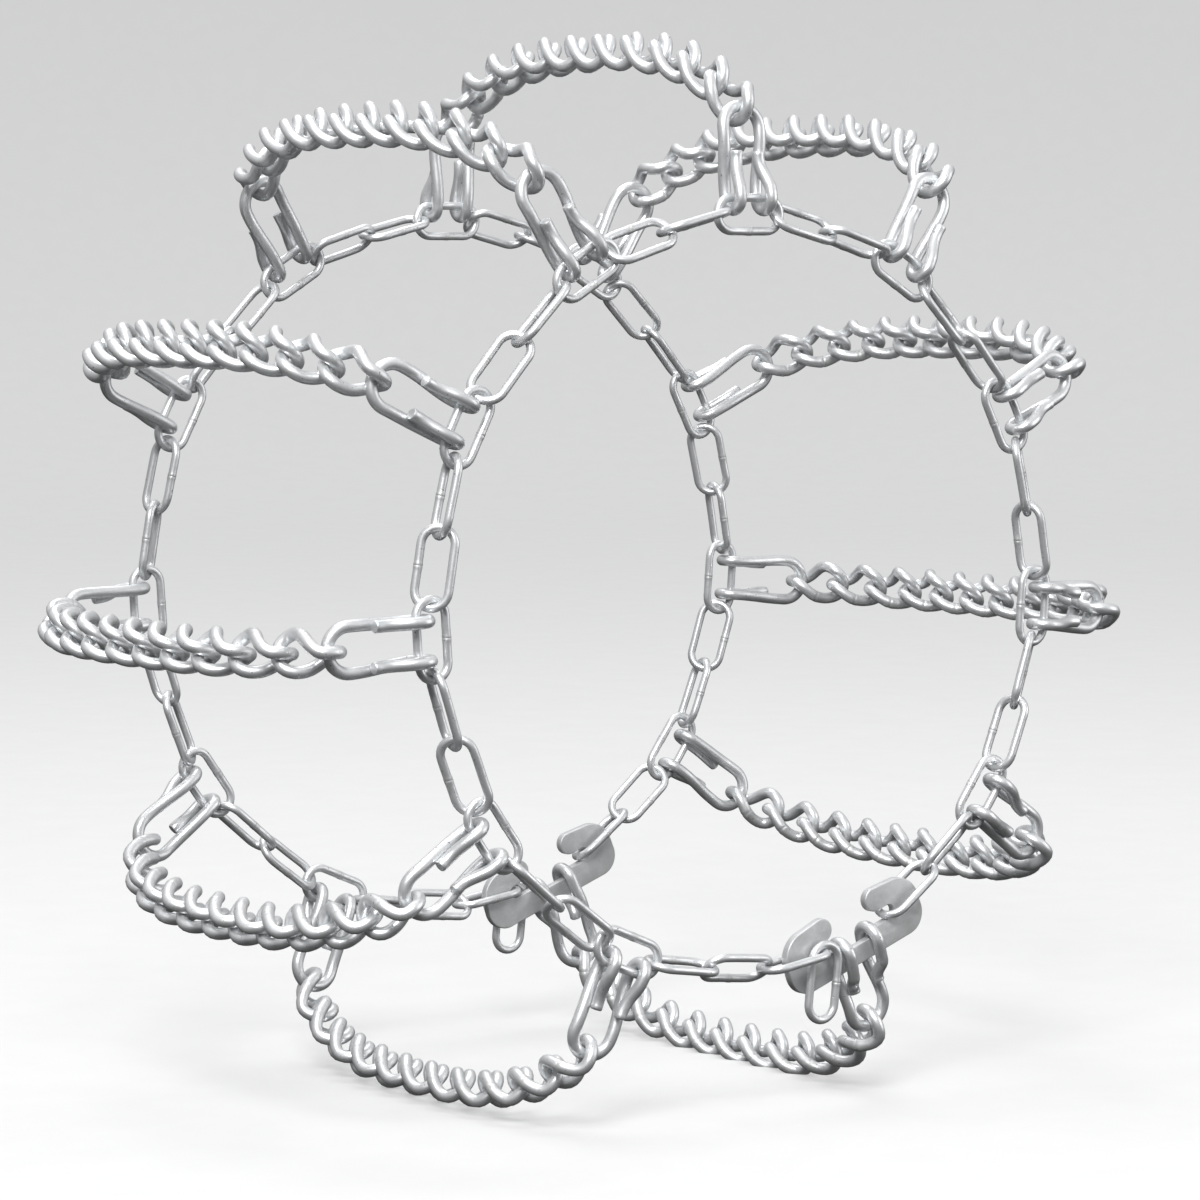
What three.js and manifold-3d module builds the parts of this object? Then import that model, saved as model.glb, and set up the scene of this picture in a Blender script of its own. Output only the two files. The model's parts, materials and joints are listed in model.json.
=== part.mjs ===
// Ladder-type snow chain for a small wide tyre, in the shape it has on the wheel.
// Two rings of straight links lie on the sidewalls, eleven twisted cross chains run over the tread between
// them, and a claw plate in each ring holds its two ends together.
// Millimetres. The wheel's axle is the Y axis, the outer sidewall faces -Y, +Z is up, and the origin is the
// wheel's centre. A station is one cross chain with the links and hooks at its two ends; station 1 is at the
// top and the numbers run anticlockwise as the outer side is looked at.

import * as THREE from 'three';
import { mergeVertices } from 'three/addons/utils/BufferGeometryUtils.js';
import Module from 'manifold-3d';

const wasm = await Module();
wasm.setup();

// ---- driving dimensions -------------------------------------------------------------------------------

const SIDE_WIRE = 4.1;              // straight links of the two side rings
const SIDE_PITCH = 33;              // inner length of a side link, contact to contact
const SIDE_WIDTH = 20;              // outer width of a side link
const CROSS_WIRE = 6;               // twisted links over the tread
const CROSS_PITCH = 24;
const CROSS_WIDTH = 23;
const HOOK_WIRE = 5.9;              // bent hook at each end of a cross chain

const STATIONS = 11;
const PLATE_STATION = 7;            // its hooks grip the claw plate instead of a link
const CROSS_LINKS = 11;             // twisted links in one cross chain
const LINK_BEND = degrees(14.1);    // turn of the ring at each end of a link that holds a hook
const FREE_BEND = degrees(3.2);     // turn between the two links that hold none

const SHOULDER_LEAN = degrees(36);  // slope of a cross chain's last link as it leaves the tread
const CROSS_TWIST = degrees(90);    // turn of one twisted link from end to end
const CROSS_ROLL = degrees(46);     // roll of the first and last twisted link, none at the middle

const HOOK_REACH = 41.2;            // from the gripped wire to the eye that holds the cross chain
const HOOK_SPREAD = 17.6;           // between the middles of a hook's two arms
const HOOK_WRAP = 6.4;              // radius of the turn round the gripped wire, to the wire's middle
const RETURN_BEND = 10;             // where a returning end starts to close down on its arm
const RETURN_END = 24;              // and where it is cut off
const RETURN_HEIGHT = 2;            // height of the cut end over the hook's middle plane
const HOOK_LEAN = degrees(10);      // lean of a hook from the sidewall's plane towards the tread

const PLATE_THICK = 4.5;
const CLAW_SLOT = 6.6;              // width of a slot in the claw plate
const BAR_INNER = 7;                // the plate's middle bar, measured out from the line through its slots
const BAR_OUTER = 16.5;
const BAR_PLAY = 1.4;               // from the bar's inner edge out to the middle of a hook's turn round it
const HEAD_REACH = 20.5;            // from a slot's bearing point to the end of the plate
const HEAD_CORNER = 11;             // radius of the plate's outer corners
const LOBE_REACH = 11.5;            // from a slot's bearing point to the tip of the claw beside it
const LOBE_HEIGHT = 15;             // from the line through the slots to the top of a claw
const SLOT_ROUND = 1;               // rounding of a slot's lips
const ARC_STEPS = 3;
const TAIL_LEAN = degrees(105);     // turn from the end link to the loose link that hangs from it
const END_LINK_OUT = 2.7;           // the end link stands proud of the plate's middle plane by this much
const TAIL_OUT = 5;                 // and the loose link lies in front of the plate

const HINGE_SLACK = 0.45;           // play at a contact that turns, taken by each of the two links
const EYE_SLACK = 0.6;              // play at a hook's eye, taken by each side
const JOIN = -0.15;                 // side links that move as one press into each other by this much
const OPEN_GAP = 1.5;               // between the two links where the linkage is open

// A square wire stands for the round one, a little narrower than it.
const SQUARE = 0.82;

// The flat at the end of a link's outline and of its hole, as shares of their widths.
const SIDE_FLATS = [0.41, 0.6];
const CROSS_FLATS = [0.6, 0.75];

const ROLL_HELD = 0;                // a link that holds a hook lies flat on the sidewall
const ROLL_EDGE = degrees(80);      // the link after it stands nearly on edge
const ROLL_TILT = degrees(130);     // and the next one is tilted the other way
const ROLL_END = degrees(90);       // the end link stands on edge in its claw

const STEEL = { zinc: 0xc9ccce, plate: 0xb4b6b8 };

const AXLE = new THREE.Vector3(0, 1, 0);
const UP = new THREE.Vector3(0, 0, 1);

function degrees(value) {
  return value * Math.PI / 180;
}

// ---- solids -------------------------------------------------------------------------------------------

function toSolid(geometry) {
  const bare = geometry.clone();
  bare.deleteAttribute('normal');
  bare.deleteAttribute('uv');
  const merged = mergeVertices(bare);
  return new wasm.Manifold(new wasm.Mesh({
    numProp: 3,
    vertProperties: merged.attributes.position.array,
    triVerts: new Uint32Array(merged.index.array),
  }));
}

function toGeometry(solid) {
  const mesh = solid.getMesh();
  const geometry = new THREE.BufferGeometry();
  geometry.setAttribute('position', new THREE.BufferAttribute(mesh.vertProperties, 3));
  geometry.setIndex(new THREE.BufferAttribute(mesh.triVerts, 1));
  geometry.computeVertexNormals();
  return geometry;
}

function joined(geometries) {
  const solids = geometries.map(toSolid);
  return toGeometry(solids.reduce((whole, piece) => whole.add(piece)));
}

// The pose of a piece whose own X runs along one direction and whose own Z faces another.
function pose(origin, along, facing) {
  const x = along.clone().normalize();
  const y = facing.clone().cross(x).normalize();
  const z = x.clone().cross(y);
  return new THREE.Matrix4().makeBasis(x, y, z).setPosition(origin);
}

// ---- links --------------------------------------------------------------------------------------------

// Half of an oval's outline, from its lower side up to its upper one; the other half is the same turned
// round. A straight link has round ends with one flat and two corners each.
function roundEnded(length, width, flatShare) {
  const half = width / 2;
  const flat = half * flatShare;
  const end = length / 2;
  const shoulder = end - half + flat;
  return [[shoulder, -half], [end, -flat], [end, flat], [shoulder, half]];
}

// A twisted link is widest at its middle, where its twist changes sides.
function middleWide(length, width, flatShare) {
  const half = width / 2;
  return [[0, -half], [length / 2, -half * flatShare], [length / 2, half * flatShare]];
}

function turnedRound(points) {
  return [...points, ...points.map(([x, y]) => [-x, -y])].map(([x, y]) => new THREE.Vector2(x, y));
}

// A closed link of wire lying flat, its inside as long as innerLength.
function ovalLink(half, innerLength, outerWidth, wire, flatShares) {
  const side = wire * SQUARE;
  const middleWidth = outerWidth - wire;
  const outer = half(innerLength + 2 * side, middleWidth + side, flatShares[0]);
  const inner = half(innerLength, middleWidth - side, flatShares[1]);
  const outline = new THREE.Shape(turnedRound(outer));
  outline.holes.push(new THREE.Path(turnedRound(inner)));
  const link = new THREE.ExtrudeGeometry(outline, { depth: side, bevelEnabled: false });
  return link.translate(0, 0, -side / 2);
}

// A side link between two contact points of its ring. Roll turns it about its own length, 0 being flat on
// the sidewall, and slack lengthens its inside past each contact point.
function sideLink(contact, roll, side) {
  const { start, end, startSlack, endSlack } = contact;
  const along = end.clone().sub(start).normalize();
  const from = start.clone().addScaledVector(along, -startSlack);
  const to = end.clone().addScaledVector(along, endSlack);
  const link = ovalLink(roundEnded, from.distanceTo(to), SIDE_WIDTH, SIDE_WIRE, SIDE_FLATS);
  link.rotateX(roll * side);
  return link.applyMatrix4(pose(from.add(to).multiplyScalar(0.5), along, AXLE));
}

// A twisted link: its two ends are turned opposite ways about its length.
function twistedLink(innerLength) {
  const link = ovalLink(middleWide, innerLength, CROSS_WIDTH, CROSS_WIRE, CROSS_FLATS);
  const straight = (innerLength + CROSS_WIRE - (CROSS_WIDTH - CROSS_WIRE)) / 2;
  const point = new THREE.Vector3();
  const corners = link.attributes.position;
  for (let i = 0; i < corners.count; i += 1) {
    point.fromBufferAttribute(corners, i);
    const share = THREE.MathUtils.clamp(point.x / straight, -1, 1);
    point.applyAxisAngle(new THREE.Vector3(1, 0, 0), share * CROSS_TWIST / 2);
    corners.setXYZ(i, point.x, point.y, point.z);
  }
  return link;
}

// ---- the ring's layout --------------------------------------------------------------------------------

// Three links carry the ring from one hook-holding link to the next.
const RUN_BENDS = [LINK_BEND, FREE_BEND, LINK_BEND];
const STATION_TURN = RUN_BENDS.reduce((sum, bend) => sum + bend);

// Walks round the ring anticlockwise in the XZ plane, one link per step, and gives the contact points.
function walk(start, heading, bends) {
  const points = [start];
  let direction = heading;
  for (const bend of bends) {
    direction += bend;
    const step = new THREE.Vector3(Math.cos(direction), 0, Math.sin(direction));
    points.push(points.at(-1).clone().addScaledVector(step, SIDE_PITCH));
  }
  return points;
}

// A held link lies at the top of its station's own frame and runs towards -X. These are the contact points
// of the two links after it and of the next held link, from half a link along.
const afterHeld = walk(new THREE.Vector3(-SIDE_PITCH / 2, 0, 0), Math.PI, RUN_BENDS);
const lastStep = afterHeld[3].clone().sub(afterHeld[2]);
const nextHeld = afterHeld[2].clone().addScaledVector(lastStep, 0.5);
const RING_RADIUS = nextHeld.length() / (2 * Math.sin(STATION_TURN / 2));
for (const point of afterHeld) {
  point.z += RING_RADIUS;
}

// Contact points of the two links before the held one: the same run, turned back by one station.
const beforeHeld = afterHeld.map((point) => point.clone().applyAxisAngle(AXLE, STATION_TURN));

// How far a station is turned from the top, anticlockwise as seen from the outer side.
function stationTurn(number) {
  const after = number - 1;
  return number < PLATE_STATION ? after * STATION_TURN : (after - STATIONS) * STATION_TURN;
}

// Contact points over the tread from the outer eye to the inner one, in the YZ plane and with the first at
// the origin. The links lie nearly level over the tread and lean more and more towards its shoulders.
const crossPoints = [new THREE.Vector3()];
for (let i = 0; i < CROSS_LINKS; i += 1) {
  const slope = SHOULDER_LEAN * crossShare(i) * Math.abs(crossShare(i));
  const step = new THREE.Vector3(0, Math.cos(slope), -Math.sin(slope));
  crossPoints.push(crossPoints.at(-1).clone().addScaledVector(step, CROSS_PITCH));
}

// -1 at the first twisted link, 0 at the middle one and 1 at the last.
function crossShare(index) {
  return 2 * index / (CROSS_LINKS - 1) - 1;
}

// The chain pulls on the middle of the wire in a hook's eye, half a wire ahead of its first contact point.
const firstStep = crossPoints[1].clone().sub(crossPoints[0]).normalize();
const toEyeWire = firstStep.clone().multiplyScalar(HOOK_WIRE / 2);
const EYE_Y = crossPoints.at(-1).y / 2 - toEyeWire.y;
const EYE_REACH = HOOK_REACH + HOOK_WIRE / 2;
const RING_Y = EYE_Y + EYE_REACH * Math.sin(HOOK_LEAN);

// ---- side runs ----------------------------------------------------------------------------------------

// The held link of a station and the two links before it, which move as one piece of the ring. Its free
// ends have play, because they turn in the next run's links.
function sideRun(side) {
  const at = (point) => point.clone().setY(side * RING_Y);
  const [edgeStart, edgeEnd, tiltEnd] = beforeHeld.map(at);
  const heldEnd = at(afterHeld[0]);
  return joined([
    sideLink({ start: edgeStart, end: edgeEnd, startSlack: HINGE_SLACK, endSlack: JOIN }, ROLL_EDGE, side),
    sideLink({ start: edgeEnd, end: tiltEnd, startSlack: JOIN, endSlack: JOIN }, ROLL_TILT, side),
    sideLink({ start: tiltEnd, end: heldEnd, startSlack: JOIN, endSlack: HINGE_SLACK }, ROLL_HELD, side),
  ]);
}

// The two links after station 6. The second is short of the end link, because the closed ring is open here.
function looseRun(side) {
  const at = (point) => point.clone().setY(side * RING_Y);
  const [start, middle, end] = afterHeld.map(at);
  const openEnd = -(SIDE_WIRE + SIDE_WIRE * SQUARE + OPEN_GAP);
  return joined([
    sideLink({ start, end: middle, startSlack: HINGE_SLACK, endSlack: JOIN }, ROLL_EDGE, side),
    sideLink({ start: middle, end, startSlack: JOIN, endSlack: openEnd }, ROLL_TILT, side),
  ]);
}

// ---- the claw plate and the end link ------------------------------------------------------------------

// The plate lies between the end link after station 6 and the first link before station 8.
const leftClaw = afterHeld[3].clone().applyAxisAngle(AXLE, -stationTurn(PLATE_STATION - 1));
const rightClaw = beforeHeld[0].clone().applyAxisAngle(AXLE, -stationTurn(PLATE_STATION + 1));
const clawMiddle = leftClaw.clone().add(rightClaw).multiplyScalar(0.5);
const clawLine = rightClaw.clone().sub(leftClaw).normalize();
const plateTurn = Math.atan2(-clawMiddle.x, clawMiddle.z);
const CLAW_HALF = leftClaw.distanceTo(rightClaw) / 2;

// Seen from outside, X along the line through the slots and Y away from the wheel's centre. Each end is a
// round head with a claw that points back at the other one, and a straight bar joins the heads.
function clawPlate() {
  const end = CLAW_HALF + HEAD_REACH;
  const root = CLAW_HALF + HINGE_SLACK;
  const tip = CLAW_HALF - LOBE_REACH;
  const slot = CLAW_SLOT / 2;
  const lobe = (LOBE_HEIGHT - slot) / 2;
  const shoulder = LOBE_HEIGHT - SLOT_ROUND;
  const half = [
    [0, BAR_OUTER],
    ...arc(end - HEAD_CORNER, BAR_OUTER - HEAD_CORNER, HEAD_CORNER, 90, 0),
    ...arc(end - shoulder, 0, shoulder, -20, -75),
    ...arc(tip + lobe, -slot - lobe, lobe, -90, -270),
    ...arc(root, 0, slot, -90, 90),
    [tip + 3 * SLOT_ROUND, slot],
    [tip + SLOT_ROUND, BAR_INNER],
  ];
  const mirrored = half.slice(1).reverse().map(([x, y]) => [-x, y]);
  const outline = new THREE.Shape([...half, ...mirrored].map(([x, y]) => new THREE.Vector2(x, y)));
  const plate = new THREE.ExtrudeGeometry(outline, { depth: PLATE_THICK, bevelEnabled: false });
  return plate.translate(0, 0, -PLATE_THICK / 2);
}

// Points on a circle from one angle to another, in degrees.
function arc(x, y, radius, from, to) {
  const points = [];
  for (let i = 0; i <= ARC_STEPS; i += 1) {
    const angle = degrees(from + (to - from) * i / ARC_STEPS);
    points.push([x + radius * Math.cos(angle), y + radius * Math.sin(angle)]);
  }
  return points;
}

// The end link, on edge in the left claw, with the loose last link of the chain hanging in front of the
// plate from its end.
function endLink(side) {
  const centreY = side * (RING_Y + END_LINK_OUT);
  const start = afterHeld[2].clone().setY(centreY);
  const end = afterHeld[3].clone().setY(centreY);
  const link = sideLink({ start, end, startSlack: 0, endSlack: HINGE_SLACK }, ROLL_END, side);
  const along = end.clone().sub(start).normalize();
  const hanging = along.clone().applyAxisAngle(AXLE, TAIL_LEAN);
  const endWire = end.clone().addScaledVector(along, HINGE_SLACK + SIDE_WIRE * SQUARE / 2);
  endWire.setY(side * (RING_Y + TAIL_OUT));
  const tailStart = endWire.addScaledVector(hanging, JOIN * 2 - SIDE_WIRE * SQUARE / 2);
  const tailEnd = tailStart.clone().addScaledVector(hanging, SIDE_PITCH);
  const tail = sideLink({ start: tailStart, end: tailEnd, startSlack: 0, endSlack: 0 }, ROLL_HELD, side);
  return joined([link, tail]);
}

// ---- hooks --------------------------------------------------------------------------------------------

// A path through given corners, for a wire with one section at each corner.
class Wire extends THREE.Curve {
  constructor(corners) {
    super();
    this.corners = corners;
  }

  getPoint(t, target = new THREE.Vector3()) {
    const place = t * (this.corners.length - 1);
    const before = Math.min(Math.floor(place), this.corners.length - 2);
    return target.lerpVectors(this.corners[before], this.corners[before + 1], place - before);
  }

  getUtoTmapping(u) {
    return u;
  }

  getTangent(t, target = new THREE.Vector3()) {
    const last = this.corners.length - 1;
    const corner = Math.round(t * last);
    const before = this.corners[Math.max(corner - 1, 0)];
    const here = this.corners[corner];
    const after = this.corners[Math.min(corner + 1, last)];
    const arriving = here.clone().sub(before).normalize();
    const leaving = after.clone().sub(here).normalize();
    return target.copy(arriving).add(leaving).normalize();
  }
}

function bentWire(corners, wire) {
  const half = wire * SQUARE / 2;
  const section = new THREE.Shape();
  section.moveTo(-half, -half).lineTo(half, -half).lineTo(half, half).lineTo(-half, half);
  return new THREE.ExtrudeGeometry(section, { extrudePath: new Wire(corners), steps: corners.length - 1 });
}

// One hook, bent from one wire. X runs from the gripped wire to the eye, Z away from the tyre. Each of its
// two arms turns round the gripped wire and comes back over itself to a cut end.
function hook() {
  const spread = HOOK_SPREAD / 2;
  const eyeTip = HOOK_REACH + EYE_SLACK + HOOK_WIRE * SQUARE / 2;
  const eyeFlat = spread / 2;
  const arm = [
    [RETURN_END, RETURN_HEIGHT],
    [RETURN_BEND, HOOK_WRAP],
    [-HOOK_WRAP / 2, HOOK_WRAP],
    [-HOOK_WRAP, HOOK_WRAP / 2],
    [-HOOK_WRAP, -HOOK_WRAP / 2],
    [-HOOK_WRAP / 2, -HOOK_WRAP],
    [RETURN_BEND, -HOOK_WRAP],
    [eyeTip - spread + eyeFlat, -RETURN_HEIGHT / 2],
  ].map(([x, z]) => new THREE.Vector3(x, -spread, z));
  const half = [...arm, new THREE.Vector3(eyeTip, -eyeFlat, 0)];
  const mirrored = half.map((point) => point.clone().setY(-point.y)).reverse();
  return bentWire([...half, ...mirrored], HOOK_WIRE);
}

// ---- the cross chain ----------------------------------------------------------------------------------

function crossChain() {
  const links = [];
  for (let i = 0; i < CROSS_LINKS; i += 1) {
    const along = crossPoints[i + 1].clone().sub(crossPoints[i]).normalize();
    const from = crossPoints[i].clone().addScaledVector(along, i === 0 ? -EYE_SLACK : -JOIN);
    const to = crossPoints[i + 1].clone().addScaledVector(along, i === CROSS_LINKS - 1 ? EYE_SLACK : JOIN);
    const link = twistedLink(from.distanceTo(to));
    link.rotateX(CROSS_ROLL * crossShare(i));
    links.push(link.applyMatrix4(pose(from.add(to).multiplyScalar(0.5), along, UP)));
  }
  return joined(links);
}

// ---- assembly -----------------------------------------------------------------------------------------

const chain = new THREE.Group();
const zinc = () => new THREE.MeshStandardMaterial({ color: STEEL.zinc, roughness: 0.32, metalness: 0.9 });
const dull = () => new THREE.MeshStandardMaterial({ color: STEEL.plate, roughness: 0.5, metalness: 0.8 });
const SIDES = [['outer', -1], ['inner', 1]];

function addMesh(group, name, geometry, material) {
  const mesh = new THREE.Mesh(geometry, material);
  mesh.name = name;
  group.add(mesh);
  return mesh;
}

function turnedGroup(turn) {
  const group = new THREE.Group();
  group.rotation.y = -turn;
  chain.add(group);
  return group;
}

const hookShape = hook();
const crossShape = crossChain();

// Two hooks on the wires or bars they grip, and the cross chain between their eyes.
function addCrossChain(group, number, gripRadius) {
  for (const [name, side] of SIDES) {
    const outward = new THREE.Vector3(0, side * Math.cos(HOOK_LEAN), Math.sin(HOOK_LEAN));
    const toEye = new THREE.Vector3(0, -side * Math.sin(HOOK_LEAN), Math.cos(HOOK_LEAN));
    const grip = new THREE.Vector3(0, side * RING_Y, gripRadius);
    const mesh = addMesh(group, `${name}_hook_${number}`, hookShape, zinc());
    mesh.applyMatrix4(pose(grip, toEye, outward));
  }
  const mesh = addMesh(group, `cross_chain_${number}`, crossShape, zinc());
  mesh.position.set(0, -EYE_Y, gripRadius + EYE_REACH * Math.cos(HOOK_LEAN)).sub(toEyeWire);
}

for (const [name, side] of SIDES) {
  const run = sideRun(side);
  for (let number = 1; number <= STATIONS; number += 1) {
    if (number !== PLATE_STATION) {
      addMesh(turnedGroup(stationTurn(number)), `${name}_side_run_${number}`, run, zinc());
    }
  }
  const afterSix = turnedGroup(stationTurn(PLATE_STATION - 1));
  addMesh(afterSix, `${name}_loose_run`, looseRun(side), zinc());
  addMesh(afterSix, `${name}_end_link`, endLink(side), zinc());
  const plate = addMesh(chain, `${name}_claw_plate`, clawPlate(), dull());
  plate.applyMatrix4(pose(clawMiddle.clone().setY(side * RING_Y), clawLine, AXLE));
}

for (let number = 1; number <= STATIONS; number += 1) {
  if (number === PLATE_STATION) {
    addCrossChain(turnedGroup(plateTurn), number, clawMiddle.length() + BAR_INNER + BAR_PLAY);
  } else {
    addCrossChain(turnedGroup(stationTurn(number)), number, RING_RADIUS + (SIDE_WIDTH - SIDE_WIRE) / 2);
  }
}

export default chain;
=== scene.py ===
# Looks of a ladder-type snow chain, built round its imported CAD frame.
# Metres. The wheel's axle is Y, the outer sidewall faces -Y and +Z is up. A station is one cross chain with
# the links and hooks at its two ends, numbered anticlockwise from the top as the outer side is looked at.

import json
import math
import random

import bpy
from mathutils import Matrix, Vector, noise


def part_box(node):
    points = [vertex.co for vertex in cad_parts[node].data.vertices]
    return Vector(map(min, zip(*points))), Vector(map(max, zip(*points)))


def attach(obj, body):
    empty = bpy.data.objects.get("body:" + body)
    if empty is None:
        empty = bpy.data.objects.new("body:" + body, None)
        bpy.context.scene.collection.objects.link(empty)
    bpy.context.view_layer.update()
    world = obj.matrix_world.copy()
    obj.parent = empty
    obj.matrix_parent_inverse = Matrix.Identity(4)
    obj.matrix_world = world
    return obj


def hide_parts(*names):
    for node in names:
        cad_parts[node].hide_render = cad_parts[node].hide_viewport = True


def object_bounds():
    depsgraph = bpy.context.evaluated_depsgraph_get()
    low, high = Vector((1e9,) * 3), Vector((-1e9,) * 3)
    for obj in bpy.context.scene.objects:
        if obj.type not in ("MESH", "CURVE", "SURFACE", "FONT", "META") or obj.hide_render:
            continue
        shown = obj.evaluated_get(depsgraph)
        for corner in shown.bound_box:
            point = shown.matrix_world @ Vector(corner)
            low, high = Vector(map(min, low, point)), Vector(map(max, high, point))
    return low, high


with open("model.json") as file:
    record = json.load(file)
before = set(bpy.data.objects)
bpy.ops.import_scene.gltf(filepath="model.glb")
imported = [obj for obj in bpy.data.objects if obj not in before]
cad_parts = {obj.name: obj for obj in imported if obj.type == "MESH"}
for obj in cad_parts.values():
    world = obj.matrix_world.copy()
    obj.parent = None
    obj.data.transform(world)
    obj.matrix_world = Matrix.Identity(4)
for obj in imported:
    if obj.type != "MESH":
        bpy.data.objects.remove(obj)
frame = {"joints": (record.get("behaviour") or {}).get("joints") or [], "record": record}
CAD_LOW, CAD_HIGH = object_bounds()

# ---- driving dimensions -------------------------------------------------------------------------------

MM = 0.001
SIDE_WIRE = 4.1 * MM
SIDE_PITCH = 33 * MM
SIDE_WIDTH = 20 * MM
CROSS_WIRE = 6 * MM
CROSS_PITCH = 24 * MM
CROSS_WIDTH = 23.5 * MM
CROSS_LINKS = 11

HOOK_WIRE = 5.9 * MM
HOOK_REACH = 41.2 * MM          # gripped wire to the inside of the eye
HOOK_SPREAD = 18.4 * MM         # between the middles of the arms where they grip
HOOK_BELLY = 21.5 * MM          # and where they are widest, near the eye
HOOK_WRAP = 5.9 * MM            # radius of the turn round the gripped wire, to the wire's middle
BAR_WRAP = 6.6 * MM             # the same round the claw plate's bar
WIRE_HOLD = 2 * MM              # the arm and its return run level this far past a gripped wire
BAR_HOLD = 9.5 * MM             # and this far past the edge of the bar
ARM_RISE = 34 * MM              # where an arm has come up into the hook's middle plane
RETURN_END = 22.3 * MM          # where the returning end is cut off
HOOK_LEAN = math.radians(10)

SHOULDER_LEAN = math.radians(36)  # slope of a cross chain's last link as it leaves the tread
CROSS_TWIST = math.radians(110)   # between the ends of a twisted link; the CAD's links turn less
CROSS_ROLL = math.radians(30)     # of the last twisted link about its own length
EDGE_ROLL = math.radians(78)      # of a side link about its length, 0 being flat on the sidewall
TILT_ROLL = math.radians(134)
HELD_ROLL = 0.0
END_ROLL = math.radians(90)

PLATE_STATION = 7
STATIONS = 11
TAIL_LEAN = math.radians(105)   # turn from the end link to the loose link that hangs from it
END_LINK_OUT = 2.7 * MM         # how far the end link lies out from the ring's own plane
TAIL_OUT = 5 * MM               # and how far the loose link does

CLAW_SLOT = 6.6 * MM            # width of a slot in the claw plate
BAR_INNER = 7 * MM              # the plate's bar, measured out from the line through its slots
BAR_OUTER = 16.5 * MM
HEAD_REACH = 20.5 * MM
HEAD_CORNER = 11 * MM
LOBE_REACH = 11.5 * MM
LOBE_HEIGHT = 15 * MM
SLOT_ROUND = 1 * MM
SLOT_SLACK = 0.45 * MM
PLATE_EDGE = 0.7 * MM           # rounding of the plate's edges

SIDE_WELD = 3 * MM              # how far a side link's weld has dulled the wire
SIDE_WELD_LUMP = 1.3 * MM       # and half the length of its lump
CROSS_WELD = 4 * MM
CROSS_WELD_LUMP = 1.6 * MM
CROSS_WELD_SHARE = 0.7          # height of a cross link's lump, next to a side link's
WELD_SWELL = 0.10               # growth of the wire's radius at a weld
WELD_GROOVE = 0.09
SIDE_WANDER = 0.12 * MM         # unevenness of the bent wire
CROSS_WANDER = 0.15 * MM
HOOK_WANDER = 0.1 * MM
HOOK_CHAMFER = 0.5 * MM
RETURN_SHIFT = (0.1, 0.75)      # how far a returning end lies off its arm, in wires
RETURN_SPREAD = (-1.6, 1.2)     # and how far its cut is from RETURN_END, in millimetres

SIDE_FACETS = 18
THICK_FACETS = 22
STRAIGHT_STEPS = 8              # sections along half of a side link's straight
CROSS_STRAIGHT_STEPS = 7
BEND_STEPS = 14
RETURN_STEPS = 16
WRAP_STEPS = 24
ARM_STEPS = 20
EYE_STEPS = 24
HEAD_STEPS = 14
LOBE_STEPS = 22
EDGE_STEPS = 5
SHARP = math.radians(40)

AXLE = Vector((0, 1, 0))
SIDES = (("outer", -1), ("inner", 1))

NOISE_SEED = 1                  # without one, Blender's vector noise differs from run to run
noise.seed_set(NOISE_SEED)

# ---- layout, worked out from the frame ----------------------------------------------------------------

JOINTS = {joint["name"]: joint for joint in frame["joints"]}
BODY_OF = {
    node: body
    for body, nodes in frame["record"]["behaviour"]["bodies"].items()
    for node in nodes
}


def eye_of(number):
    """Point on the mid plane between the two hook eyes of a station, where its cross chain swings."""
    return Vector(JOINTS[f"cross_swing_{number}"]["pos_m"])


def turn_of(number):
    eye = eye_of(number)
    return math.atan2(-eye.x, eye.z)


def outward(turn):
    return Vector((-math.sin(turn), 0, math.cos(turn)))


def onward(turn):
    """Direction of the ring at a station, anticlockwise."""
    return outward(turn).cross(AXLE)


STATION_TURN = turn_of(2) - turn_of(1)
EYE_REACH = HOOK_REACH + HOOK_WIRE / 2
GRIP_DROP = EYE_REACH * math.cos(HOOK_LEAN)
RING_RADIUS = eye_of(1).length - GRIP_DROP - (SIDE_WIDTH - SIDE_WIRE) / 2
PLATE_LOW, PLATE_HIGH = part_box("outer_claw_plate")
RING_Y = abs(PLATE_LOW.y + PLATE_HIGH.y) / 2
PLATE_THICK = PLATE_HIGH.y - PLATE_LOW.y


def held_ends(turn):
    """Contact points of a link that lies along the ring at a station."""
    centre = outward(turn) * RING_RADIUS
    half = onward(turn) * SIDE_PITCH / 2
    return centre - half, centre + half


def run_points(turn):
    """Contact points of the two links that lead to a station's held link, and the held link's own."""
    start = held_ends(turn - STATION_TURN)[1]
    held_start, held_end = held_ends(turn)
    middle = (start + held_start) / 2
    half = (held_start - start).length / 2
    elbow = middle + middle.normalized() * math.sqrt(SIDE_PITCH**2 - half**2)
    return start, elbow, held_start, held_end


def cross_points(number):
    """Contact points of a cross chain's links, from the outer eye over the tread to the inner one."""
    slopes = [SHOULDER_LEAN * cross_share(i) * abs(cross_share(i)) for i in range(CROSS_LINKS)]
    y = -sum(math.cos(slope) for slope in slopes) * CROSS_PITCH / 2
    radius = eye_of(number).length + math.sin(slopes[0]) * HOOK_WIRE / 2
    away = outward(turn_of(number))
    points = [away * radius + AXLE * y]
    for slope in slopes:
        points.append(points[-1] + (AXLE * math.cos(slope) - away * math.sin(slope)) * CROSS_PITCH)
    return points


def cross_share(index):
    """-1 at the first twisted link, 0 at the middle one and 1 at the last."""
    return 2 * index / (CROSS_LINKS - 1) - 1


# ---- round wire ---------------------------------------------------------------------------------------

class Shell:
    """One closed surface. Each vertex also has its place along and round the wire, and its weld heat."""

    def __init__(self):
        self.vertices = []
        self.faces = []
        self.places = []
        self.heats = []

    def add(self, vertex, place, heat=0.0):
        self.vertices.append(vertex)
        self.places.append(place)
        self.heats.append(heat)


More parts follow.
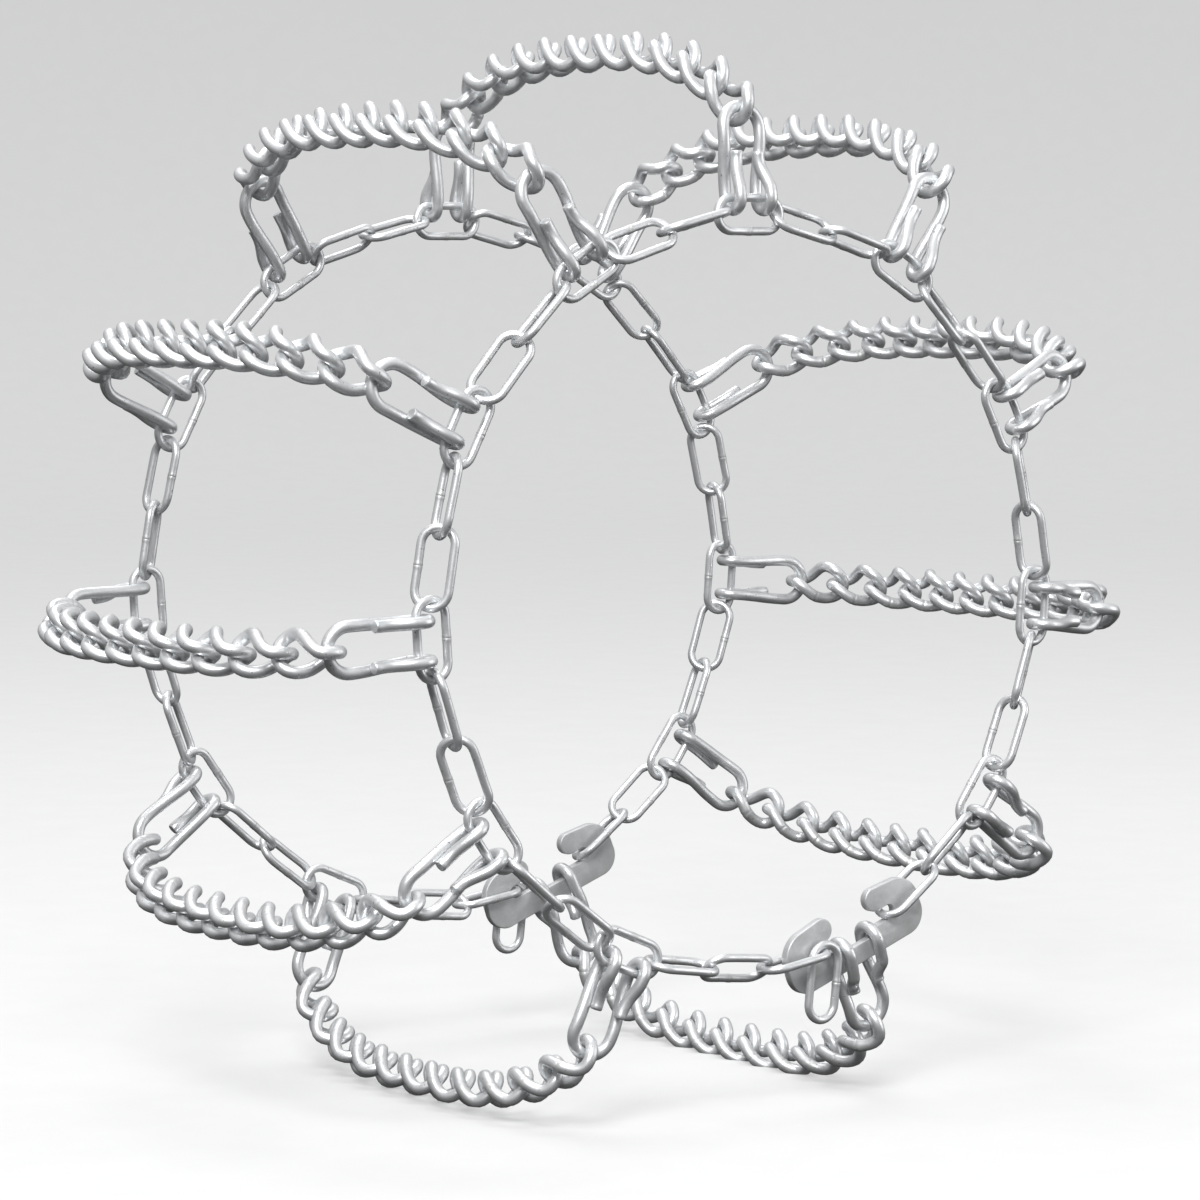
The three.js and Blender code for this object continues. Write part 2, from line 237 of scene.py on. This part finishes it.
def basis(along, facing):
    """Axes of a piece whose X runs along one direction and whose Z faces another."""
    x = along.normalized()
    y = facing.cross(x).normalized()
    return Matrix((x, y, x.cross(y))).transposed()


def sweep(points, ups, radii, facets, closed, seed, heats=None):
    """A round wire along points; ups are directions across it, which needn't be quite square to it."""
    shell = Shell()
    count = len(points)
    travelled = 0.0
    for i, (point, up, radius) in enumerate(zip(points, ups, radii)):
        before = points[i - 1] if closed or i else point
        after = points[(i + 1) % count] if closed or i < count - 1 else point
        along = (after - before).normalized()
        across = along.cross(up).normalized()
        over = across.cross(along)
        travelled += (point - before).length if i else 0
        if closed and 2 * i > count:
            travelled -= 2 * (point - before).length
        for k in range(facets):
            angle = 2 * math.pi * k / facets
            spoke = (radius * math.cos(angle), radius * math.sin(angle))
            place = Vector((travelled + seed, spoke[0], spoke[1]))
            shell.add(point + across * spoke[0] + over * spoke[1], place, heats[i] if heats else 0.0)
    for i in range(count if closed else count - 1):
        here, there = i * facets, ((i + 1) % count) * facets
        for k in range(facets):
            m = (k + 1) % facets
            shell.faces.append((here + k, here + m, there + m, there + k))
    if not closed:
        shell.faces.append(tuple(reversed(range(facets))))
        shell.faces.append(tuple(range((count - 1) * facets, count * facets)))
    return shell


def oval(inner_length, width, wire, straight_steps, end_steps):
    """Middle line of a link in its XY plane, X along it. It starts at the weld, halfway along one side."""
    radius = (width - wire) / 2
    straight = (inner_length + wire) / 2 - radius
    weld_side = [straight * (i / straight_steps) ** 2 for i in range(straight_steps)]
    plain_side = [straight * (1 - i / straight_steps) for i in range(2 * straight_steps)]
    bend = [math.pi * (i / end_steps - 0.5) for i in range(end_steps)]
    line = [(x, -radius) for x in weld_side]
    line += [(straight + radius * math.cos(a), radius * math.sin(a)) for a in bend]
    line += [(x, radius) for x in plain_side]
    line += [(-straight - radius * math.cos(a), -radius * math.sin(a)) for a in bend]
    line += [(-straight, -radius)]
    line += [(-x, -radius) for x in reversed(weld_side[1:])]
    return [Vector((x, y, 0)) for x, y in line]


def weld_heat(point, reach):
    """1 at the weld in the middle of a link's lower side, falling to 0 a few wires away."""
    return math.exp(-((point.x / reach) ** 2)) if point.y < 0 else 0.0


def weld_swell(point, reach):
    """Thickening of the wire at its weld, with the joint's fine groove in the middle."""
    share = abs(point.x) / reach
    if point.y > 0 or share > 3:
        return 0.0
    return WELD_SWELL * math.exp(-(share**4)) - WELD_GROOVE * math.exp(-((share * 5) ** 2))


def uneven(points, seed, amount):
    """Small unevenness of bent wire."""
    shift = Vector((seed, 2 * seed, 0))
    return [point + noise.noise_vector(point * 90 + shift) * amount for point in points]


def side_link(start, end, side, roll, seed):
    """A straight link between two contact points of its ring."""
    centre = (start + end) / 2
    turned = basis(end - start, AXLE) @ Matrix.Rotation(roll * side, 3, "X")
    points = oval((end - start).length, SIDE_WIDTH, SIDE_WIRE, STRAIGHT_STEPS, BEND_STEPS)
    radii = [SIDE_WIRE / 2 * (1 + weld_swell(point, SIDE_WELD_LUMP)) for point in points]
    heats = [weld_heat(point, SIDE_WELD) for point in points]
    ups = [turned @ Vector((0, 0, 1))] * len(points)
    line = [turned @ point + centre for point in uneven(points, seed, SIDE_WANDER)]
    return sweep(line, ups, radii, SIDE_FACETS, True, seed, heats)


def twisted_link(start, end, facing, roll, seed):
    """A twisted link: its two ends are turned opposite ways about its length."""
    centre = (start + end) / 2
    flat = basis(end - start, facing)
    points = oval((end - start).length, CROSS_WIDTH, CROSS_WIRE, CROSS_STRAIGHT_STEPS, BEND_STEPS)
    reach = (end - start).length / 2
    line, ups = [], []
    for point, moved in zip(points, uneven(points, seed, CROSS_WANDER)):
        share = math.sin(max(-1, min(1, point.x / reach)) * math.pi / 2)
        turned = flat @ Matrix.Rotation(roll + share * CROSS_TWIST / 2, 3, "X")
        line.append(turned @ moved + centre)
        ups.append(turned @ Vector((0, 0, 1)))
    radii = [
        CROSS_WIRE / 2 * (1 + CROSS_WELD_SHARE * weld_swell(point, CROSS_WELD_LUMP))
        for point in points
    ]
    heats = [weld_heat(point, CROSS_WELD) for point in points]
    return sweep(line, ups, radii, THICK_FACETS, True, seed, heats)


# ---- hooks --------------------------------------------------------------------------------------------

def eased(share):
    """0 to 1 with a level start and a level end."""
    share = max(0, min(1, share))
    return share * share * (3 - 2 * share)


def hook_arm(wrap, hold, shift, end):
    """One arm, from its cut end round the gripped wire to the start of the eye. X runs to the eye, Z away
    from the tyre, and Y is left to grow from the arm's own side towards the other one."""
    eye_centre = EYE_REACH - HOOK_BELLY / 2
    spread, belly = HOOK_SPREAD / 2, HOOK_BELLY / 2
    drop = math.sqrt(max(HOOK_WIRE**2 - shift**2, 0))

    def arm_height(x):
        return -wrap * (1 - eased((x - hold) / (ARM_RISE - hold)))

    def arm_side(x):
        return spread + (belly - spread) * eased(x / eye_centre)

    points = []
    for i in range(RETURN_STEPS):
        x = end + (hold - end) * i / RETURN_STEPS
        share = eased((x - hold) / (end - hold))
        height = wrap + (arm_height(x) + drop - wrap) * share
        points.append(Vector((x, arm_side(x) - shift * share, height)))
    for i in range(WRAP_STEPS + 1):
        angle = math.pi / 2 + math.pi * i / WRAP_STEPS
        points.append(Vector((wrap * math.cos(angle), spread, wrap * math.sin(angle))))
    for i in range(1, ARM_STEPS):
        x = eye_centre * i / ARM_STEPS
        points.append(Vector((x, arm_side(x), arm_height(x))))
    return points


def hook_line(wrap, hold, draw):
    """Middle line of a whole hook, bent from one wire."""
    arms = []
    for hand in (1, -1):
        shift = draw.uniform(*RETURN_SHIFT) * HOOK_WIRE
        end = RETURN_END + draw.uniform(*RETURN_SPREAD) * MM
        arms.append([Vector((p.x, hand * p.y, p.z)) for p in hook_arm(wrap, hold, shift, end)])
    belly = HOOK_BELLY / 2
    eye = []
    for i in range(EYE_STEPS + 1):
        angle = math.pi * (0.5 - i / EYE_STEPS)
        height = -wrap * (1 - eased((EYE_REACH - belly - hold) / (ARM_RISE - hold)))
        height *= 1 - math.cos(angle)
        eye.append(Vector((EYE_REACH - belly + belly * math.cos(angle), belly * math.sin(angle), height)))
    return arms[0] + eye + arms[1][::-1]


def carried_ups(points, first):
    """Directions across an open wire, carried along it without twisting."""
    ups = []
    up = first
    for i in range(len(points)):
        along = (points[min(i + 1, len(points) - 1)] - points[max(i - 1, 0)]).normalized()
        up = (up - along * up.dot(along)).normalized()
        ups.append(up)
    return ups


def hook(turn, side, grip_radius, wrap, hold, seed):
    """A hook in its place, with slightly chamfered cut ends."""
    draw = random.Random(seed)
    line = uneven(hook_line(wrap, hold, draw), seed, HOOK_WANDER)
    for tip, inner in ((0, 1), (-1, -2)):
        outwards = (line[tip] - line[inner]).normalized()
        place = 0 if tip == 0 else len(line)
        line.insert(place, line[tip] + outwards * HOOK_CHAMFER)
    radii = [HOOK_WIRE / 2] * len(line)
    radii[0] = radii[-1] = HOOK_WIRE / 2 - HOOK_CHAMFER * 0.7
    away = outward(turn)
    facing = away * math.sin(HOOK_LEAN) + AXLE * side * math.cos(HOOK_LEAN)
    to_eye = away * math.cos(HOOK_LEAN) - AXLE * side * math.sin(HOOK_LEAN)
    placed = basis(to_eye, facing)
    grip = away * grip_radius + AXLE * side * RING_Y
    ups = carried_ups(line, Vector((0, 0, 1)))
    line = [placed @ point + grip for point in line]
    ups = [placed @ up for up in ups]
    return sweep(line, ups, radii, THICK_FACETS, False, seed)


# ---- claw plate ---------------------------------------------------------------------------------------

def arc(x, y, radius, start, stop, steps):
    """Points on a circle from one angle to another, in degrees."""
    angles = [math.radians(start + (stop - start) * i / steps) for i in range(steps + 1)]
    return [(x + radius * math.cos(a), y + radius * math.sin(a)) for a in angles]


def claw_outline(half_line):
    """The plate's outline, X along the line through its slots and Y away from the wheel's centre."""
    end = half_line + HEAD_REACH
    root = half_line + SLOT_SLACK
    tip = half_line - LOBE_REACH
    slot = CLAW_SLOT / 2
    lobe = (LOBE_HEIGHT - slot) / 2
    shoulder = LOBE_HEIGHT - SLOT_ROUND
    mouth = tip + 2.5 * SLOT_ROUND
    half = [(0, BAR_OUTER), ((end - HEAD_CORNER) / 2, BAR_OUTER)]
    half += arc(end - HEAD_CORNER, BAR_OUTER - HEAD_CORNER, HEAD_CORNER, 90, 0, HEAD_STEPS)
    half += arc(end - shoulder, 0, shoulder, -12, -80, HEAD_STEPS)
    half += arc(tip + lobe, -slot - lobe, lobe, -90, -270, LOBE_STEPS)
    half += arc(root, 0, slot, -90, 90, HEAD_STEPS)
    half += [(root / 2 + mouth / 2, slot), (mouth, slot)]
    half += arc(tip + SLOT_ROUND, slot + SLOT_ROUND, SLOT_ROUND, -60, -120, 3)
    half += [(tip - SLOT_ROUND, BAR_INNER - SLOT_ROUND), (tip - 3 * SLOT_ROUND, BAR_INNER)]
    half += [(tip / 2, BAR_INNER)]
    return half + [(-x, y) for x, y in reversed(half[1:])]


def inset(outline, amount):
    """The outline drawn in by an amount, corner by corner. It runs clockwise."""
    drawn = []
    for i, (x, y) in enumerate(outline):
        before = Vector(outline[i - 1])
        after = Vector(outline[(i + 1) % len(outline)])
        here = Vector((x, y))
        leaving, arriving = (after - here).normalized(), (here - before).normalized()
        along = (leaving + arriving).normalized()
        drawn.append(here + Vector((along.y, -along.x)) * amount)
    return drawn


def claw_plate(side, seed):
    """A pressed plate with its edges rounded in front and behind."""
    left = held_ends(turn_of(PLATE_STATION - 1) + STATION_TURN)[1]
    right = held_ends(turn_of(PLATE_STATION + 1) - STATION_TURN)[1]
    centre = (left + right) / 2 + AXLE * side * RING_Y
    placed = basis(right - left, AXLE)
    outline = claw_outline((right - left).length / 2)
    levels = []
    for face in (-1, 1):
        ring = []
        for i in range(EDGE_STEPS + 1):
            angle = math.radians(90 / EDGE_STEPS * i)
            height = PLATE_THICK / 2 - PLATE_EDGE * (1 - math.sin(angle))
            ring.append((PLATE_EDGE * (1 - math.cos(angle)), face * height))
        levels += ring[::-1] if face < 0 else ring
    shell = Shell()
    for amount, height in levels:
        for point in inset(outline, amount):
            flat = Vector((point.x, point.y, height))
            shell.add(placed @ flat + centre, flat + Vector((seed, 0, 0)))
    count = len(outline)
    for level in range(len(levels) - 1):
        here, there = level * count, (level + 1) * count
        for k in range(count):
            m = (k + 1) % count
            shell.faces.append((here + k, there + k, there + m, here + m))
    shell.faces.append(tuple(range(count)))
    shell.faces.append(tuple(reversed(range((len(levels) - 1) * count, len(levels) * count))))
    return shell


# ---- materials ----------------------------------------------------------------------------------------

class Nodes:
    """Short way to add nodes to a material."""

    def __init__(self, name):
        self.material = bpy.data.materials.new(name)
        self.material.use_nodes = True
        self.tree = self.material.node_tree
        self.shader = self.tree.nodes["Principled BSDF"]

    def add(self, kind, values=None, **settings):
        node = self.tree.nodes.new(kind)
        for key, value in settings.items():
            setattr(node, key, value)
        for key, value in (values or {}).items():
            if hasattr(value, "is_output"):
                self.tree.links.new(value, node.inputs[key])
            else:
                node.inputs[key].default_value = value
        return node.outputs

    def noise(self, vector, scale, detail, roughness=0.5):
        values = {"Vector": vector, "Scale": scale, "Detail": detail, "Roughness": roughness}
        return self.add("ShaderNodeTexNoise", values)["Fac"]

    def between(self, value, low, high, to_low=0.0, to_high=1.0):
        values = {"Value": value, "From Min": low, "From Max": high, "To Min": to_low, "To Max": to_high}
        return self.add("ShaderNodeMapRange", values, clamp=True)["Result"]

    def mixed(self, share, first, second):
        values = {0: share, 6: first, 7: second}
        return self.add("ShaderNodeMix", values, data_type="RGBA")[2]

    def maths(self, operation, first, second):
        return self.add("ShaderNodeMath", {0: first, 1: second}, operation=operation)[0]

    def shade(self, socket, value):
        if hasattr(value, "is_output"):
            self.tree.links.new(value, self.shader.inputs[socket])
        else:
            self.shader.inputs[socket].default_value = value


def grey(level, warmth=0.0):
    return (level * (1 + warmth), level, level * (1 - warmth), 1)


def stretched(nodes, vector, along):
    """Wire coordinates with their length squeezed, so that what is drawn on them runs along the wire."""
    return nodes.add("ShaderNodeMapping", {"Vector": vector, "Scale": (along, 1, 1)})["Vector"]


def zinc_wire(name, light, dark, roughness):
    """Zinc-plated drawn wire: patchy tone, drawing marks along it, small pits and dull welds."""
    nodes = Nodes(name)
    solid = nodes.add("ShaderNodeTexCoord")["Object"]
    wire = nodes.add("ShaderNodeAttribute", attribute_name="wire_place")["Vector"]
    heat = nodes.add("ShaderNodeAttribute", attribute_name="weld_heat")["Fac"]
    along = stretched(nodes, wire, along=0.04)
    patches = nodes.between(nodes.noise(solid, scale=55, detail=5), low=0.38, high=0.66)
    drawn = nodes.between(nodes.noise(along, scale=2600, detail=3, roughness=0.6), low=0.35, high=0.75)
    spangle = nodes.add("ShaderNodeTexVoronoi", {"Vector": solid, "Scale": 520.0})["Distance"]
    spangle = nodes.between(spangle, low=0.1, high=0.8)
    pits = nodes.between(nodes.noise(solid, scale=620, detail=2), low=0.69, high=0.75)
    grime = nodes.between(nodes.noise(solid, scale=160, detail=6, roughness=0.65), low=0.56, high=0.74)

    colour = nodes.mixed(patches, grey(dark, -0.015), grey(light, -0.01))
    colour = nodes.mixed(nodes.maths("MULTIPLY", drawn, 0.22), colour, grey(dark * 0.72, -0.02))
    colour = nodes.mixed(nodes.maths("MULTIPLY", spangle, 0.16), colour, grey(light * 1.06, -0.02))
    colour = nodes.mixed(nodes.maths("MULTIPLY", grime, 0.4), colour, grey(dark * 0.55, -0.01))
    colour = nodes.mixed(nodes.maths("MULTIPLY", heat, 0.35), colour, grey(dark * 0.62, 0.02))
    colour = nodes.mixed(nodes.maths("MULTIPLY", pits, 0.75), colour, grey(0.07))
    nodes.shade("Base Color", colour)

    rough = nodes.between(patches, low=0, high=1, to_low=roughness + 0.12, to_high=roughness)
    rough = nodes.maths("ADD", rough, nodes.maths("MULTIPLY", grime, 0.16))
    rough = nodes.maths("ADD", rough, nodes.maths("MULTIPLY", heat, 0.12))
    nodes.shade("Roughness", rough)
    dirt = nodes.maths("ADD", grime, pits)
    nodes.shade("Metallic", nodes.between(dirt, low=0, high=1, to_low=0.74, to_high=0.4))
    nodes.shade("Specular IOR Level", 0.5)

    ripple = nodes.noise(solid, scale=260, detail=4)
    grit = nodes.noise(solid, scale=1700, detail=2)
    height = nodes.maths("ADD", nodes.maths("MULTIPLY", ripple, 0.6), nodes.maths("MULTIPLY", drawn, -0.12))
    height = nodes.maths("SUBTRACT", height, nodes.maths("MULTIPLY", pits, 0.5))
    height = nodes.maths("ADD", height, nodes.maths("MULTIPLY", grit, 0.14))
    bump = nodes.add("ShaderNodeBump", {"Strength": 0.5, "Distance": 0.25 * MM, "Height": height})
    nodes.shade("Normal", bump["Normal"])
    return nodes.material


def plate_steel(name):
    """Pressed steel plate with a dull plating: fine rolling grain, scuffs and painted highlights on its
    rounded edges.
    """
    nodes = Nodes(name)
    solid = nodes.add("ShaderNodeTexCoord")["Object"]
    place = nodes.add("ShaderNodeAttribute", attribute_name="wire_place")["Vector"]
    rolled = stretched(nodes, place, along=0.05)
    rubbed = stretched(nodes, place, along=0.2)
    mottle = nodes.between(nodes.noise(solid, scale=120, detail=6, roughness=0.6), low=0.36, high=0.66)
    grain = nodes.between(nodes.noise(rolled, scale=3200, detail=3, roughness=0.6), low=0.35, high=0.7)
    scuffs = nodes.between(nodes.noise(rubbed, scale=420, detail=5, roughness=0.7), low=0.60, high=0.72)
    specks = nodes.between(nodes.noise(solid, scale=900, detail=2), low=0.70, high=0.76)
    pointiness = nodes.add("ShaderNodeNewGeometry")["Pointiness"]
    # painted highlight: the rounded edges, found by their pointiness, are lightened in the base colour
    painted_edge_highlight = nodes.between(pointiness, low=0.52, high=0.60)

    colour = nodes.mixed(mottle, grey(0.56, -0.01), grey(0.68, -0.01))
    colour = nodes.mixed(nodes.maths("MULTIPLY", grain, 0.25), colour, grey(0.44))
    colour = nodes.mixed(nodes.maths("MULTIPLY", scuffs, 0.5), colour, grey(0.78, -0.01))
    # the painted highlight along the rounded edges
    colour = nodes.mixed(nodes.maths("MULTIPLY", painted_edge_highlight, 0.8), colour, grey(0.78, -0.01))
    colour = nodes.mixed(nodes.maths("MULTIPLY", specks, 0.6), colour, grey(0.09))
    nodes.shade("Base Color", colour)
    rough = nodes.between(mottle, low=0, high=1, to_low=0.52, to_high=0.4)
    rough = nodes.maths("SUBTRACT", rough, nodes.maths("MULTIPLY", painted_edge_highlight, 0.12))
    nodes.shade("Roughness", rough)
    nodes.shade("Metallic", nodes.between(specks, low=0, high=1, to_low=0.55, to_high=0.3))

    height = nodes.maths("ADD", nodes.maths("MULTIPLY", mottle, 0.5), nodes.maths("MULTIPLY", grain, 0.25))
    height = nodes.maths("SUBTRACT", height, nodes.maths("MULTIPLY", specks, 0.6))
    bump = nodes.add("ShaderNodeBump", {"Strength": 0.5, "Distance": 0.2 * MM, "Height": height})
    nodes.shade("Normal", bump["Normal"])
    return nodes.material


SIDE_ZINC = zinc_wire("side_chain_zinc", light=0.9, dark=0.7, roughness=0.31)
CROSS_ZINC = zinc_wire("cross_chain_zinc", light=0.92, dark=0.76, roughness=0.3)
HOOK_ZINC = zinc_wire("hook_zinc", light=0.88, dark=0.68, roughness=0.32)
PLATE_ZINC = plate_steel("claw_plate_zinc")


# ---- pieces -------------------------------------------------------------------------------------------

def make_piece(node, shells, material):
    """One object from several closed shells, riding on the body of the CAD node that it replaces."""
    vertices, faces, places, heats = [], [], [], []
    for shell in shells:
        first = len(vertices)
        vertices += shell.vertices
        faces += [tuple(first + i for i in face) for face in shell.faces]
        places += [value for place in shell.places for value in place]
        heats += shell.heats
    mesh = bpy.data.meshes.new(node + "_detail")
    mesh.from_pydata(vertices, [], faces)
    mesh.materials.append(material)
    mesh.attributes.new("wire_place", "FLOAT_VECTOR", "POINT").data.foreach_set("vector", places)
    mesh.attributes.new("weld_heat", "FLOAT", "POINT").data.foreach_set("value", heats)
    mesh.polygons.foreach_set("use_smooth", [True] * len(mesh.polygons))
    mesh.set_sharp_from_angle(angle=SHARP)
    mesh.update()
    piece = bpy.data.objects.new(node + "_detail", mesh)
    bpy.context.scene.collection.objects.link(piece)
    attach(piece, BODY_OF[node])
    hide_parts(node)


def add_side_run(name, side, number, seed):
    """A station's held link and the two links before it."""
    start, elbow, held_start, held_end = ring_points(run_points(turn_of(number)), side)
    shells = [
        side_link(start, elbow, side, EDGE_ROLL, seed),
        side_link(elbow, held_start, side, TILT_ROLL, seed + 1),
        side_link(held_start, held_end, side, HELD_ROLL, seed + 2),
    ]
    make_piece(f"{name}_side_run_{number}", shells, SIDE_ZINC)


def ring_points(points, side):
    return [point + AXLE * side * RING_Y for point in points]


def add_loose_run(name, side, seed):
    """The two links after the last whole station before the plate."""
    turn = turn_of(PLATE_STATION - 1) + STATION_TURN
    start, elbow, end, _ = ring_points(run_points(turn), side)
    shells = [
        side_link(start, elbow, side, EDGE_ROLL, seed),
        side_link(elbow, end, side, TILT_ROLL, seed + 1),
    ]
    make_piece(f"{name}_loose_run", shells, SIDE_ZINC)


def add_end_link(name, side, seed):
    """The link in the plate's left claw, and the chain's loose last link hanging from it."""
    turn = turn_of(PLATE_STATION - 1) + STATION_TURN
    start, end = (point + AXLE * side * (RING_Y + END_LINK_OUT) for point in held_ends(turn))
    along = (end - start).normalized()
    hanging = Matrix.Rotation(TAIL_LEAN, 3, AXLE) @ along
    end_wire = end + along * SIDE_WIRE / 2
    end_wire.y = side * (RING_Y + TAIL_OUT)
    tail_start = end_wire - hanging * SIDE_WIRE / 2
    shells = [
        side_link(start, end, side, END_ROLL, seed),
        side_link(tail_start, tail_start + hanging * SIDE_PITCH, side, HELD_ROLL, seed + 1),
    ]
    make_piece(f"{name}_end_link", shells, SIDE_ZINC)


def add_hook(name, side, number, seed):
    wrap, hold = (BAR_WRAP, BAR_HOLD) if number == PLATE_STATION else (HOOK_WRAP, WIRE_HOLD)
    grip_radius = eye_of(number).length - GRIP_DROP
    shell = hook(turn_of(number), side, grip_radius, wrap, hold, seed)
    make_piece(f"{name}_hook_{number}", [shell], HOOK_ZINC)


def add_cross_chain(number, seed):
    points = cross_points(number)
    facing = outward(turn_of(number))
    shells = [
        twisted_link(points[i], points[i + 1], facing, CROSS_ROLL * cross_share(i), seed + i)
        for i in range(CROSS_LINKS)
    ]
    make_piece(f"cross_chain_{number}", shells, CROSS_ZINC)


for name, side in SIDES:
    for number in range(1, STATIONS + 1):
        seed = 100 * number + 50 * (side + 1)
        if number != PLATE_STATION:
            add_side_run(name, side, number, seed)
        add_hook(name, side, number, seed + 10)
    add_loose_run(name, side, 1300 + side)
    add_end_link(name, side, 1400 + side)
    make_piece(f"{name}_claw_plate", [claw_plate(side, side)], PLATE_ZINC)
for number in range(1, STATIONS + 1):
    add_cross_chain(number, 2000 + 20 * number)

# ---- stage --------------------------------------------------------------------------------------------

CAMERA_AZIMUTH = math.radians(-35.5)
CAMERA_RISE = math.radians(4.2)
CAMERA_DISTANCE = 2.15
CAMERA_LENS = 128.5
CAMERA_SHIFT = Vector((5 * MM, -10.5 * MM))
SKY_START = 0.3                 # share of the way up from straight below where the sky starts to brighten
SKY_BELOW = 0.05
SKY_ABOVE = 0.75
FLOOR_DROP = 0.2 * MM           # gap under the lowest wire
FLOOR_REACH = 5.0               # radius of the flat floor
SWEEP = 2.0                     # radius of the curve that turns it up into the backdrop
BACKDROP_HEIGHT = 6.0
SWEEP_STEPS = 12
FLOOR_SIDES = 96


def add_camera():
    """Looks straight at the wheel from the left of its axle and a little above it."""
    azimuth, rise = CAMERA_AZIMUTH, CAMERA_RISE
    back = Vector((math.sin(azimuth) * math.cos(rise), -math.cos(azimuth) * math.cos(rise), math.sin(rise)))
    right = Vector((math.cos(azimuth), math.sin(azimuth), 0))
    up = back.cross(right)
    data = bpy.data.cameras.new("camera")
    data.lens = CAMERA_LENS
    data.clip_end = 100
    camera = bpy.data.objects.new("camera", data)
    place = back * CAMERA_DISTANCE + right * CAMERA_SHIFT.x + up * CAMERA_SHIFT.y
    camera.matrix_world = Matrix.Translation(place) @ Matrix((right, up, back)).transposed().to_4x4()
    bpy.context.scene.collection.objects.link(camera)
    bpy.context.scene.camera = camera


def add_light(name, place, size, energy):
    """A square soft box that faces the wheel's centre."""
    data = bpy.data.lights.new(name, "AREA")
    data.size = size
    data.energy = energy
    light = bpy.data.objects.new(name, data)
    light.location = place
    light.rotation_euler = Vector(place).to_track_quat("Z", "Y").to_euler()
    bpy.context.scene.collection.objects.link(light)


def add_world():
    """Even light, dimmer from below, so that round wire keeps a dark side."""
    world = bpy.data.worlds.new("studio")
    bpy.context.scene.world = world
    world.use_nodes = True
    tree = world.node_tree
    background = tree.nodes["Background"]
    coords = tree.nodes.new("ShaderNodeTexCoord")
    split = tree.nodes.new("ShaderNodeSeparateXYZ")
    ramp = tree.nodes.new("ShaderNodeValToRGB")
    ramp.color_ramp.elements[0].position = SKY_START
    ramp.color_ramp.elements[0].color = grey(SKY_BELOW)
    ramp.color_ramp.elements[1].position = 1.0
    ramp.color_ramp.elements[1].color = grey(SKY_ABOVE, -0.01)
    span = tree.nodes.new("ShaderNodeMapRange")
    span.inputs["From Min"].default_value = -1
    tree.links.new(coords.outputs["Generated"], split.inputs[0])
    tree.links.new(split.outputs["Z"], span.inputs["Value"])
    tree.links.new(span.outputs["Result"], ramp.inputs[0])
    tree.links.new(ramp.outputs["Color"], background.inputs["Color"])


def paper():
    """Pale matt paper that glows a little, so that it stays even away from the lamps."""
    nodes = Nodes("floor_paper")
    solid = nodes.add("ShaderNodeTexCoord")["Object"]
    fibre = nodes.between(nodes.noise(solid, scale=30, detail=4), low=0, high=1)
    nodes.shade("Base Color", nodes.mixed(fibre, grey(0.36), grey(0.4)))
    nodes.shade("Roughness", 0.9)
    nodes.shade("Specular IOR Level", 0.1)
    nodes.shade("Emission Color", grey(1.0))
    nodes.shade("Emission Strength", 0.44)
    return nodes.material


def add_floor():
    """A round floor that sweeps up into a backdrop all round. Only the camera sees it, so that it doesn't
    fill the wire's dark side with light."""
    level = CAD_LOW.z - FLOOR_DROP
    profile = [(0.0, level), (FLOOR_REACH / 2, level)]
    for i in range(SWEEP_STEPS + 1):
        angle = math.pi / 2 * i / SWEEP_STEPS
        profile.append((FLOOR_REACH + SWEEP * math.sin(angle), level + SWEEP * (1 - math.cos(angle))))
    profile.append((FLOOR_REACH + SWEEP, level + BACKDROP_HEIGHT))
    around = FLOOR_SIDES
    vertices, faces = [], []
    for radius, height in profile:
        for k in range(around):
            angle = 2 * math.pi * k / around
            vertices.append((radius * math.cos(angle), radius * math.sin(angle), height))
    for i in range(len(profile) - 1):
        for k in range(around):
            m = (k + 1) % around
            faces.append((i * around + k, i * around + m, (i + 1) * around + m, (i + 1) * around + k))
    mesh = bpy.data.meshes.new("floor")
    mesh.from_pydata(vertices, [], faces)
    mesh.polygons.foreach_set("use_smooth", [True] * len(mesh.polygons))
    mesh.materials.append(paper())
    floor = bpy.data.objects.new("floor", mesh)
    bpy.context.scene.collection.objects.link(floor)
    floor.visible_diffuse = False
    floor.visible_glossy = False
    floor.visible_shadow = False


add_camera()
add_world()
add_floor()
add_light("key", place=(-1.6, -1.7, 1.9), size=1.1, energy=84)
add_light("fill", place=(1.9, -1.6, 0.5), size=1.6, energy=13)
add_light("top", place=(0.2, 0.9, 2.4), size=1.6, energy=27)
bpy.context.scene.view_settings.view_transform = "Standard"
